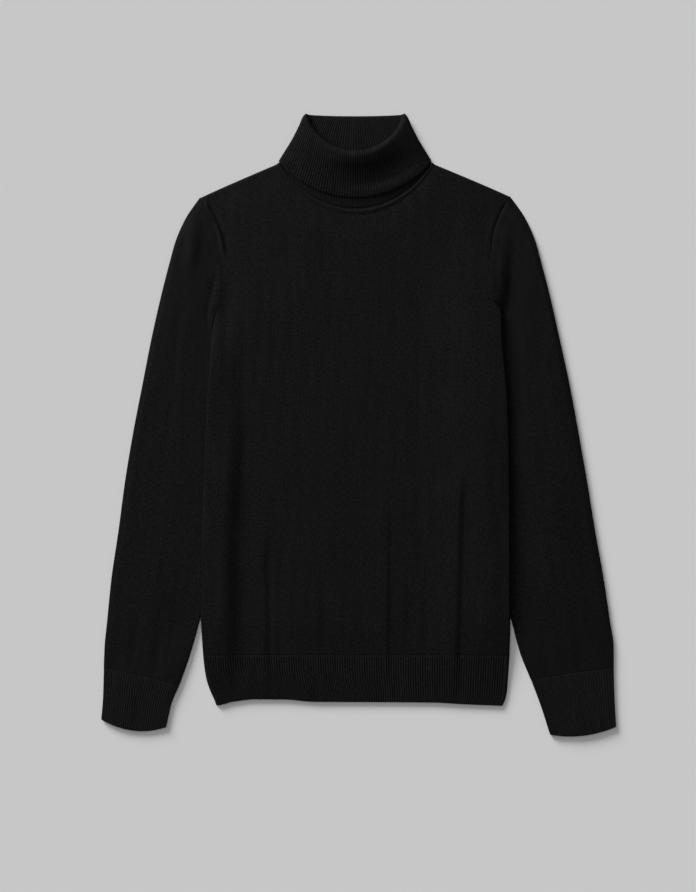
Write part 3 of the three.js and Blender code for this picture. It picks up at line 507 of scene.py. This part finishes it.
def front_panel():
    radius = FOLD_RADIUS - JERSEY / 2
    f, side, angle = columns_of(250, 9)
    p = np.concatenate([np.linspace(0, 0.985, 150), np.linspace(1.0, 1.955, 96), np.full(13, 2.0)])[:, None]
    turns = np.radians(np.concatenate([np.full(246, 90.0), np.linspace(90, 0, 13)]))[:, None]
    at_top = (p == 2.0)
    away = FOLD_RADIUS * (1 - np.cos(angle))
    side_rolled = 1 - smooth((p - 0.99) / 0.09)
    side_in = np.where(side != 0, mix(away, rolled_in(radius, angle), side_rolled), 0.0)
    neck_half = (NECK_HALF_WIDTH + 1) / (SHOULDER[1][0] - SHOULDER[-1][0])
    neck_middle = (NECK_CENTRE_X - SHOULDER[-1][0]) / (SHOULDER[1][0] - SHOULDER[-1][0])
    top_rolled = smooth((np.abs(f - neck_middle) - neck_half) / 0.01)
    from_top = np.where(at_top, mix(FOLD_RADIUS * (1 - np.cos(turns)), rolled_in(radius, turns), top_rolled), 0.0)
    x, y = body_place(f, -side * side_in, p, from_top, front_neck_y)
    y = y + np.where(p == 0, SEAM_GAP / 2, 0.0)
    from_side = np.minimum(x - edge_x[-1](y), edge_x[1](y) - x)
    below_top = top_y(x, front_neck_y) - y
    puff = front_puff(x, y, from_side, below_top) + armpit_rise(x, y) * (1 - below_armpit(x, y))
    side_drop = np.where(side != 0, side_rolled * radius * (1 - np.sin(angle)), 0.0)
    top_drop = top_rolled * radius * (1 - np.sin(turns))
    floor = body_lift(x, y)
    z = np.maximum(floor + JERSEY / 2, floor + radius + puff - side_drop - top_drop)
    middle = np.stack(np.broadcast_arrays(x, y, z), axis=-1)

    armhole = smooth((SHOULDER[-1][1] - 2 - y) / 9) * smooth((y - 196) / 20)
    inside = np.maximum(from_side, 0)
    left_ridge = armhole_ridge(-1, inside - RIDGE_CENTRE[-1], 0.25, 2.6)
    right_ridge = armhole_ridge(1, inside - RIDGE_CENTRE[1], 0.2, 2.6)
    side_ridge = np.where(x < 0, left_ridge, right_ridge) * armhole
    lower = smooth((198 - y) / 20) * smooth((y - 132) / 15)
    beside = np.where(x < 0, SLEEVE_SWELL[-1], SLEEVE_SWELL[1]) * bell((inside + 4) / 5) * lower
    neck_ridge = ridge(np.maximum(below_top, 0) - 3.2, NECK_RIDGE, 2.6, 0.3, 2.4) * (1 - top_rolled)
    relief = side_ridge + beside + neck_ridge
    knit = np.stack(np.broadcast_arrays(x, y), axis=-1)
    return shell("front_panel_knit", middle, JERSEY, knit, relief, steps=(3, 4))


def back_panel():
    f, side, _ = columns_of(150, 1)
    p = np.concatenate([np.linspace(0, 0.985, 110), np.linspace(1.0, 2.0, 70)])[:, None]
    inset = 3.2
    side_rolled = 1 - smooth((p - 1) / 0.2)
    neck_half = (NECK_HALF_WIDTH + 1) / (SHOULDER[1][0] - SHOULDER[-1][0])
    neck_middle = (NECK_CENTRE_X - SHOULDER[-1][0]) / (SHOULDER[1][0] - SHOULDER[-1][0])
    top_rolled = smooth((np.abs(f - neck_middle) - neck_half + 0.02) / 0.03)
    from_top = np.where(p == 2.0, inset * top_rolled, 0.0)
    x, y = body_place(f, -side * inset * side_rolled, p, from_top, back_neck_y)
    y = y + np.where(p == 0, SEAM_GAP / 2, 0.0)
    uneven = 0.12 * (1 + ripple(x, y * 0.5, 70, 6.0))
    z = body_lift(x, y) + JERSEY / 2 + uneven * smooth((x - edge_x[-1](y)) / 20) * smooth((edge_x[1](y) - x) / 20)
    middle = np.stack(np.broadcast_arrays(x, y, z), axis=-1)
    knit = np.stack(np.broadcast_arrays(x, y), axis=-1)
    # its outer face is the one that lies on the floor
    return shell("back_panel_knit", middle[:, ::-1], JERSEY, knit[:, ::-1], steps=(3, 3))


# The hem band
def rib_profile(ribs):
    """Rounded ribs with narrow valleys, -0.5 to 0.5, from a count of ribs passed."""
    crest = 0.5 + 0.5 * np.cos(2 * math.pi * ribs)
    return crest ** 0.75 - 0.5


def hem_place(f, offset, q):
    left_y = mix(HEM_JOIN_Y, HEM_SIDE[-1][0][0], q)
    right_y = mix(HEM_JOIN_Y, HEM_SIDE[1][0][0], q)
    x = mix(hem_x[-1](left_y), hem_x[1](right_y), f) + offset
    return x, mix(HEM_JOIN_Y - SEAM_GAP / 2, hem_lower_y(x), q)


def hem_band(name, front):
    radius = FOLD_RADIUS - RIB_CLOTH / 2
    f, side, angle = columns_of(HEM_RIBS * PER_RIB - 1, 9)
    q = (1 - np.linspace(0, 1, 30))[:, None]
    width = hem_x[1](HEM_JOIN_Y) - hem_x[-1](HEM_JOIN_Y)
    if front:
        inset = np.where(side != 0, rolled_in(radius, angle), 0.0)
        drop = np.where(side != 0, radius * (1 - np.sin(angle)), 0.0)
    else:
        inset, drop = np.where(side != 0, 3.2, 0.0), 0.0
        f = np.linspace(0, 1, f.shape[1])[None, :]
        side = np.where(f == 0, -1, np.where(f == 1, 1, 0))
        inset = 3.2 * np.abs(side)
    x, y = hem_place(f, -side * inset, q)
    from_side = np.minimum(x - hem_x[-1](y), hem_x[1](y) - x)
    ribs = HEM_RIBS * (f - 0.0135) / (1 - 0.027)
    crest = rib_profile(ribs) * smooth(from_side / 6) * smooth(q / 0.05)
    floor = body_lift(x, y)
    if front:
        puff = front_puff(x, np.minimum(y, HEM_JOIN_Y), from_side, PUFF_RUN)
        z = floor + radius - 0.14 - 0.11 * smooth(q / 0.15) + puff * (1 - 0.5 * q) - drop
        z = np.maximum(floor + RIB_CLOTH / 2, z)
    else:
        z = floor + RIB_CLOTH / 2 + RIB_RELIEF / 2 + 0 * x
    middle = np.stack(np.broadcast_arrays(x, y, z), axis=-1)
    knit = np.stack(np.broadcast_arrays(x, y), axis=-1)
    if not front:
        middle, knit, crest = middle[:, ::-1], knit[:, ::-1], crest[:, ::-1]
    return shell(name, middle, RIB_CLOTH, knit, RIB_RELIEF * crest, steps=(3, 4))


# Sleeves and cuffs: flattened tubes
def tube_round(over, under, fold):
    """Places round a flattened tube: across (0 outer fold, 1 inner), which end folds, and the angle."""
    high = np.linspace(0.045, 0.955, over)
    low = np.linspace(0.955, 0.045, under)
    turn = np.linspace(90, -90, fold)
    across = np.concatenate([high, np.ones(fold), low, np.zeros(fold)])
    kind = np.concatenate([np.zeros(over), np.ones(fold), np.full(under, 2), np.full(fold, 3)])
    angle = np.concatenate([np.full(over, 90.0), turn, np.full(under, -90.0), turn[::-1]])
    return across[None, :], kind[None, :], np.radians(angle)[None, :]


def tube_middle(across, kind, angle, place, height, width, half):
    """The middle of a flattened tube's wall, whose plan and top are functions of the way across."""
    radius = height(np.where(kind == 3, 0.0, 1.0)) / 2
    mid = radius - half
    away = (half + ROLL_SQUEEZE * mid * (1 - np.cos(angle))) / width
    w = np.where(kind == 1, 1 - away, np.where(kind == 3, away, across))
    x, y = place(w)
    z = np.where(kind == 0, height(w) - half, half)
    z = np.where((kind == 1) | (kind == 3), radius + mid * np.sin(angle), z)
    return np.stack(np.broadcast_arrays(x, y, z), axis=-1), w


def sleeve_height(side, across, down):
    grown = smooth(down / 0.3)
    freed = smooth((down - 0.86) / 0.14)
    puffed = mix(smooth((0.85 - across) / 0.5), 1, freed)
    sink = np.zeros(np.broadcast(across, down).shape)
    for top_across, top, low_across, low, half, depth in SLEEVE_FOLDS[side]:
        centre = mix(top_across, low_across, (down - top) / (low - top))
        ends = smooth((down - top + 0.05) / 0.08) * smooth((low + 0.05 - down) / 0.08)
        sink = sink + depth * ends * bell((across - centre) / half)
    uneven = 0.30 * ripple(across * 120, down * 260, 70, 2.0 + side) + 0.08 * ripple(across * 120, down * 300, 22, 5.0)
    inside = smooth(across / 0.12) * smooth((1 - across) / 0.12)
    flat = mix(SLEEVE_HEAD, SLEEVE_FLAT[side], smooth(down / 0.25))
    height = mix(flat, SLEEVE_PUFFED[side], grown * puffed) + inside * uneven
    rounded = SLEEVE_ROUND * (1 - smooth(across / 0.08)) * smooth(down / 0.03)
    height = np.maximum(LEAST_SLEEVE, height - rounded)
    height = mix(height, cuff_height(side, across, 0.0) - CUFF_RELIEF / 2, smooth((down - 0.78) / 0.22))
    return height - inside * sink * (1 - smooth((down - 0.97) / 0.03))


def cuff_height(side, across, down):
    bow = 0.5 * ripple(across * 80, down * 50, 60, 3.0 + side)
    return CUFF_HEIGHT + smooth(across / 0.1) * smooth((1 - across) / 0.1) * bow


def sleeve(side):
    table = SLEEVE[side]
    sections = np.arange(len(table)) / (len(table) - 1)
    corners = [through(sections, [row[k] for row in table]) for k in range(4)]
    down = np.concatenate([np.linspace(0, 0.03, 12)[:-1], np.linspace(0.03, 1, 190)])[:, None]
    outer_x, outer_y, inner_x, inner_y = (corner(down) for corner in corners)
    width = np.hypot(outer_x - inner_x, outer_y - inner_y)
    sag = CUFF[side][0][4] * np.clip(down * 3 - 2, 0, 1) ** 2
    bend_left = (1 - np.clip(down * 2.2, 0, 1)) ** 2
    head_gap = side * (SEAM_GAP + JERSEY / 2) * (1 - np.clip(down * 4, 0, 1))

    def place(w):
        head_y = mix(table[0][1], table[0][3], w)
        bend = edge_x[side](head_y) - mix(table[0][0], table[0][2], w)
        x = mix(outer_x, inner_x, w) + bend * bend_left + head_gap
        y = mix(outer_y, inner_y, w) - sag * 4 * w * (1 - w) + np.where(down == 1, SEAM_GAP / 2 + 0.4, 0)
        return x, y

    def height(w):
        x, y = place(w)
        rise = armpit_rise(x, y) * (1 - smooth((x - 167 - (y - 140) * 0.05) / 16)) * smooth((y - 128) / 24)
        return sleeve_height(side, w, down) + rise - fold_depth(SLEEVE_DENTS[side], x, y)

    across, kind, angle = tube_round(150, 60, 11)
    middle, w = tube_middle(across, kind, angle, place, height, width, JERSEY / 2)
    x, y = middle[..., 0], middle[..., 1]
    from_seam = np.abs(x - edge_x[side](y)) * 0.85
    upper = smooth((SHOULDER[side][1] - 2 - y) / 9) * smooth((y - 196) / 20)
    seam = armhole_ridge(side, from_seam + RIDGE_CENTRE[side], 0.15, 1.7) * upper
    lower = smooth((198 - y) / 20) * smooth((y - 132) / 15)
    beside = SLEEVE_SWELL[side] * bell((from_seam - 4) / 5)
    marks = 0.0
    for k in range(10):
        marks = marks + 0.3 * bell((y - 194 + 6.2 * k) / 1.7) * bell((from_seam - 5.5) / 2)
    relief = (kind == 0) * (seam + (beside + marks) * lower)
    v = -down * 600.0 + 0 * w
    u = np.where(kind == 2, 2 - w, w) * 120 + 0 * down
    u = np.where(kind == 3, 240 - w * 120, u)
    knit = np.stack(np.broadcast_arrays(u, v), axis=-1)
    knit = np.concatenate([knit, knit[:, :1] + [240, 0]], axis=1)
    return tube_shell(f"{SIDE_NAME[side]}_sleeve_knit", side, middle, JERSEY, knit, relief, 0.0, (3, 4))


SIDE_NAME = {-1: "left", 1: "right"}


def tube_shell(name, side, middle, thickness, knit, relief, inner_relief, steps):
    """Rows of the left tubes are turned round, so that the outer face is outwards on both sides."""
    relief = np.broadcast_to(relief, middle.shape[:2])
    inner_relief = np.broadcast_to(inner_relief, middle.shape[:2])
    if side < 0:
        middle, knit, relief, inner_relief = middle[::-1], knit[::-1], relief[::-1], inner_relief[::-1]
    return shell(name, middle, thickness, knit, relief, inner_relief, True, steps)


def cuff(side):
    table = CUFF[side]
    corners = [through([0, 0.5, 1], [row[k] for row in table]) for k in range(5)]
    down = np.linspace(0, 1, 34)[:, None]
    outer_x, outer_y, inner_x, inner_y, sag = (corner(down) for corner in corners)
    width = np.hypot(outer_x - inner_x, outer_y - inner_y)

    def place(w):
        y = mix(outer_y, inner_y, w) - sag * 4 * w * (1 - w)
        return mix(outer_x, inner_x, w), y - np.where(down == 0, SEAM_GAP / 2 + 0.4, 0)

    def height(w):
        return cuff_height(side, w, down)

    across, kind, angle = tube_round(CUFF_RIBS * PER_RIB, CUFF_RIBS * PER_RIB, 13)
    half = RIB_CLOTH / 2 + CUFF_RELIEF / 2
    middle, w = tube_middle(across, kind, angle, place, height, width, half)
    flat = ((kind == 0) | (kind == 2)) * smooth(w / 0.07) * smooth((1 - w) / 0.07)
    crest = rib_profile(w * CUFF_RIBS) * flat * smooth(down / 0.06)
    u = np.where(kind == 2, 2 - w, w) * 92 + 0 * down
    u = np.where(kind == 3, 184 - w * 92, u)
    knit = np.stack(np.broadcast_arrays(u, -down * 60), axis=-1)
    knit = np.concatenate([knit, knit[:, :1] + [184, 0]], axis=1)
    raised = CUFF_RELIEF * crest
    return tube_shell(f"{SIDE_NAME[side]}_cuff_rib", side, middle, RIB_CLOTH, knit, raised, raised * -0.5, (2, 4))


# The collar: one tube of rib cloth folded over on itself
def collar():
    stations = np.arange(len(COLLAR))
    curves = [through(stations, [row[k] for row in COLLAR]) for k in range(8)]
    s = np.concatenate([np.linspace(0, 0.3, 6)[:-1], np.linspace(0.3, 2.7, 21)[:-1],
                        np.linspace(2.7, 5.3, 22)[:-1], np.linspace(5.3, 9, 36)])
    columns = (COLLAR_FRONT_RIBS + COLLAR_BACK_RIBS) * PER_RIB
    middle = np.zeros((len(s), columns, 3))
    for i, station in enumerate(s):
        half_width, corner_y, front_dip, power, back_dip, front_z, corner_z, back_z = (c(station) for c in curves)
        at_seam = 1 - smooth(station / 0.6)
        done = 0
        for start, ribs in ((0.0, COLLAR_BACK_RIBS), (math.pi, COLLAR_FRONT_RIBS)):
            angle = start + np.linspace(0, math.pi, 721)
            across = np.cos(angle)
            front = np.sin(angle) < 0
            arch = np.maximum(1 - across * across, 0)
            x = mix(COLLAR_CENTRE_X, NECK_CENTRE_X, at_seam) + half_width * across
            own_y = np.where(front, corner_y - front_dip * arch ** (power / 2),
                             corner_y - back_dip * arch ** 0.5)
            neck_x = NECK_CENTRE_X + NECK_HALF_WIDTH * across
            seam_y = np.where(front, front_neck_y(neck_x), back_neck_y(neck_x)) + SEAM_GAP + RIB_CLOTH / 2
            y = mix(own_y, seam_y, at_seam)
            rise = (mix(corner_z, front_z, arch) - back_z) / 2
            depth = np.sqrt(half_width * np.maximum(rise, 0.01))
            reach = -np.sin(angle) * half_width / depth
            z = back_z + rise * (1 + reach / np.hypot(1, reach))
            z = z - collar_sink(x, y, station) * front
            line = np.stack([x, y, z], axis=-1)
            run = np.concatenate([[0], np.cumsum(np.linalg.norm(np.diff(line, axis=0), axis=1))])
            count = ribs * PER_RIB
            target = run[-1] * np.arange(count) / count
            for k in range(3):
                middle[i, done:done + count, k] = np.interp(target, run, line[:, k])
            done += count
    facing = normals(middle, True)
    if facing[30, columns // 5, 2] < 0:
        middle = middle[:, ::-1]
    ribs = np.arange(columns) / PER_RIB
    fade = 1 - 0.7 * bell((s[:, None] - 4.0) / 0.8)
    from_seam = np.linalg.norm(middle - middle[:1], axis=2)
    crest = 0.6 * RIB_RELIEF * rib_profile(ribs)[None, :] * fade * smooth(from_seam / 4)
    run = np.concatenate([[0], np.cumsum(np.linalg.norm(np.diff(middle[:, columns * 3 // 4], axis=0), axis=1))])
    across = np.arange(columns + 1) * (375.0 / columns)
    knit = np.stack(np.broadcast_arrays(across[None, :], run[:, None]), axis=-1)
    return shell("collar_rib", middle, COLLAR_CLOTH, knit, crest, crest, True, (2, 2))


def collar_sink(x, y, station):
    """How far the folded collar's front sinks in its soft dents, some of which are in its outer layer alone."""
    total = np.zeros(x.shape)
    for at_x, at_y, half_x, half_y, depth, first in COLLAR_DENTS:
        bend = COLLAR_BEND * (x - COLLAR_CENTRE_X) ** 2 * (at_x * at_x < 900)
        reached = smooth((station - first) / 1.2) * smooth((8.9 - station) / 0.9)
        total = total + depth * reached * bell((x - at_x) / half_x) * bell((y - at_y - bend) / half_y)
    return total


# Materials
class Value:
    """A number socket, so that shader maths reads as Python."""

    def __init__(self, nodes, socket):
        self.nodes, self.socket = nodes, socket

    def maths(self, operation, *others):
        inputs = [self, *others]
        return self.nodes.make("ShaderNodeMath", {"operation": operation}, dict(enumerate(inputs)))

    def __add__(self, other):
        return self.maths("ADD", other)

    __radd__ = __add__

    def __sub__(self, other):
        return self.maths("SUBTRACT", other)

    def __rsub__(self, other):
        return self * -1.0 + other

    def __mul__(self, other):
        return self.maths("MULTIPLY", other)

    __rmul__ = __mul__

    def __pow__(self, other):
        return self.maths("POWER", other)

    def sine(self):
        return self.maths("SINE")

    def size(self):
        return self.maths("ABSOLUTE")


class Nodes:
    """One material's nodes."""

    def __init__(self, name):
        self.material = bpy.data.materials.new(name)
        self.material.use_nodes = True
        self.tree = self.material.node_tree
        self.shader = self.tree.nodes["Principled BSDF"]

    def make(self, kind, settings=None, inputs=None, output=0):
        node = self.tree.nodes.new(kind)
        for key, setting in (settings or {}).items():
            if key == "stops":
                ramp = node.color_ramp
                for element, (place, grey) in zip(ramp.elements, setting):
                    element.position = place
                    element.color = (grey, grey, grey, 1)
            else:
                setattr(node, key, setting)
        for key, given in (inputs or {}).items():
            self.put(node.inputs[key], given)
        return Value(self, node.outputs[output])

    def put(self, socket, given):
        if isinstance(given, Value):
            self.tree.links.new(given.socket, socket)
        else:
            socket.default_value = given

    def feed(self, name, given):
        self.put(self.shader.inputs[name], given)

    def constants(self, **settings):
        for name, setting in settings.items():
            self.shader.inputs[name.replace("_", " ")].default_value = setting

    def mixed_colour(self, amount, low, high):
        return self.make("ShaderNodeMix", {"data_type": "RGBA"}, {0: amount, 6: low, 7: high}, 2)

    def noise(self, place, scale, detail, roughness=0.5):
        return self.make("ShaderNodeTexNoise", {}, {"Vector": place, "Scale": scale, "Detail": detail,
                                                    "Roughness": roughness})


def knit_material(name, low, high, wale, course, stitch_depth, fuzz_depth):
    """Matte black knit: V-shaped stitches in wales and courses, a mottled grain and a little fuzz."""
    nodes = Nodes(name)
    knit = nodes.make("ShaderNodeUVMap", {"uv_map": "knit"})
    parts = nodes.tree.nodes.new("ShaderNodeSeparateXYZ")
    nodes.tree.links.new(knit.socket, parts.inputs[0])
    across, along = Value(nodes, parts.outputs[0]), Value(nodes, parts.outputs[1])
    waviness = nodes.noise(knit, 160.0, 1.0) - 0.5
    wales = across * (2 * math.pi / wale) + waviness * 0.9
    leg = (wales * 0.5).sine().size()
    courses = (along * (2 * math.pi / course) + leg * 2.4).sine() * 0.5 + 0.5
    stitches = leg * (courses * 0.55 + 0.45)
    stretched = nodes.make("ShaderNodeMapping", {}, {"Vector": knit, "Scale": (1.0, 0.75, 1.0)})
    grain = nodes.noise(stretched, 420.0, 3.0, 0.65)
    drawn_out = nodes.make("ShaderNodeMapping", {}, {"Vector": knit, "Scale": (1.0, 0.1, 1.0)})
    streaks = nodes.noise(drawn_out, 110.0, 2.0)
    fuzz = nodes.noise(knit, 1500.0, 2.0, 0.7)
    shade = grain * 0.84 + streaks * 0.16
    spread = nodes.make("ShaderNodeValToRGB", {"stops": [(0.34, 0.0), (0.66, 1.0)]}, {0: shade})
    nodes.feed("Base Color", nodes.mixed_colour(spread, low, high))
    nodes.feed("Roughness", 0.70 - grain * 0.10)
    height = stitches * stitch_depth + grain * fuzz_depth + fuzz * (fuzz_depth * 0.35)
    nodes.feed("Normal", nodes.make("ShaderNodeBump", {}, {"Strength": 1.0, "Distance": 0.001,
                                                           "Height": height}))
    nodes.constants(Metallic=0.0, Specular_IOR_Level=0.02)
    return nodes.material


def floor_material():
    nodes = Nodes("pale_floor")
    place = nodes.make("ShaderNodeTexCoord", {}, {}, 3)
    grain = nodes.noise(place, 900.0, 2.0, 0.7)
    nodes.feed("Base Color", nodes.mixed_colour(grain, (0.585, 0.585, 0.585, 1), (0.615, 0.615, 0.615, 1)))
    nodes.constants(Roughness=0.9, Specular_IOR_Level=0.1)
    return nodes.material


# Putting it together
def dress(piece, node, material):
    cloth_pieces.append(piece)
    piece.data.materials.append(material)
    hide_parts(node)
    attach(piece, "root")


def make_camera():
    camera = bpy.data.cameras.new("camera")
    camera.sensor_fit = "HORIZONTAL"
    camera.sensor_width = 36.0
    distance = 3.0
    across = 696 * 1.2 * MM
    camera.lens = camera.sensor_width * (distance - 0.005) / across
    holder = bpy.data.objects.new("camera", camera)
    holder.location = ((348 - 358.5) * 1.2 * MM, (425 - 446) * 1.2 * MM, distance)
    bpy.context.collection.objects.link(holder)
    bpy.context.scene.camera = holder


def sun(name, azimuth, elevation, strength, softness):
    """A soft, even studio light. azimuth 0 comes from the top of the photo and grows to the right."""
    light = bpy.data.lights.new(name, "SUN")
    light.energy = strength
    light.angle = math.radians(softness)
    holder = bpy.data.objects.new(name, light)
    holder.rotation_euler = (math.radians(90 - elevation), 0, math.radians(180 - azimuth))
    bpy.context.collection.objects.link(holder)


def near_softbox(pieces):
    """A soft box near the upper left, shone on the cloth alone, so that the floor stays even."""
    light = bpy.data.lights.new("near_softbox", "AREA")
    light.energy = 16.5
    light.size = 0.5
    holder = bpy.data.objects.new("near_softbox", light)
    place = Vector((-0.95, 0.85, 0.5))
    holder.location = place
    holder.rotation_euler = (-place).to_track_quat("-Z", "Y").to_euler()
    bpy.context.collection.objects.link(holder)
    lit = bpy.data.collections.new("lit_by_softbox")
    for piece in pieces:
        lit.objects.link(piece)
    holder.light_linking.receiver_collection = lit


def make_studio():
    scene = bpy.context.scene
    scene.view_settings.view_transform = "Standard"
    scene.view_settings.look = "None"
    sun("key", -35, 24, 4.15, 27)
    sun("overhead", -35, 80, 1.0, 40)
    world = bpy.data.worlds.new("studio")
    world.use_nodes = True
    world.node_tree.nodes["Background"].inputs["Color"].default_value = (1, 1, 1, 1)
    world.node_tree.nodes["Background"].inputs["Strength"].default_value = 0.10
    scene.world = world
    mesh = bpy.data.meshes.new("floor")
    reach = 6.0
    mesh.from_pydata([(-reach, -reach, -0.0003), (reach, -reach, -0.0003), (reach, reach, -0.0003),
                      (-reach, reach, -0.0003)], [], [(0, 1, 2, 3)])
    floor = bpy.data.objects.new("floor", mesh)
    bpy.context.collection.objects.link(floor)
    mesh.materials.append(floor_material())


cloth_pieces = []
make_camera()
make_studio()
jersey = knit_material("black_jersey_knit", (0.0023, 0.0023, 0.0024, 1), (0.0063, 0.0063, 0.0065, 1),
                       0.0018, 0.0013, 0.10, 0.16)
rib = knit_material("black_rib_knit", (0.0031, 0.0031, 0.0032, 1), (0.0075, 0.0075, 0.0077, 1),
                    0.0015, 0.0013, 0.08, 0.10)

# The collar's copy of the rib knit has base colours darker than the band rib's. This is painted shade standing in for
# the dark valleys that its shallower ribs don't cast.
collar_rib = knit_material("black_collar_rib_knit_painted_shade", (0.0026, 0.0026, 0.0027, 1), (0.0062, 0.0062, 0.0064, 1),
                           0.0015, 0.0013, 0.08, 0.10)

dress(front_panel(), "front_panel", jersey)
dress(back_panel(), "back_panel", jersey)
for side in (-1, 1):
    dress(sleeve(side), f"{SIDE_NAME[side]}_sleeve", jersey)
    dress(cuff(side), f"{SIDE_NAME[side]}_cuff", rib)
dress(hem_band("front_hem_rib_knit", True), "front_hem_rib", rib)
dress(hem_band("back_hem_rib_knit", False), "back_hem_rib", rib)
dress(collar(), "collar", collar_rib)

near_softbox(cloth_pieces)
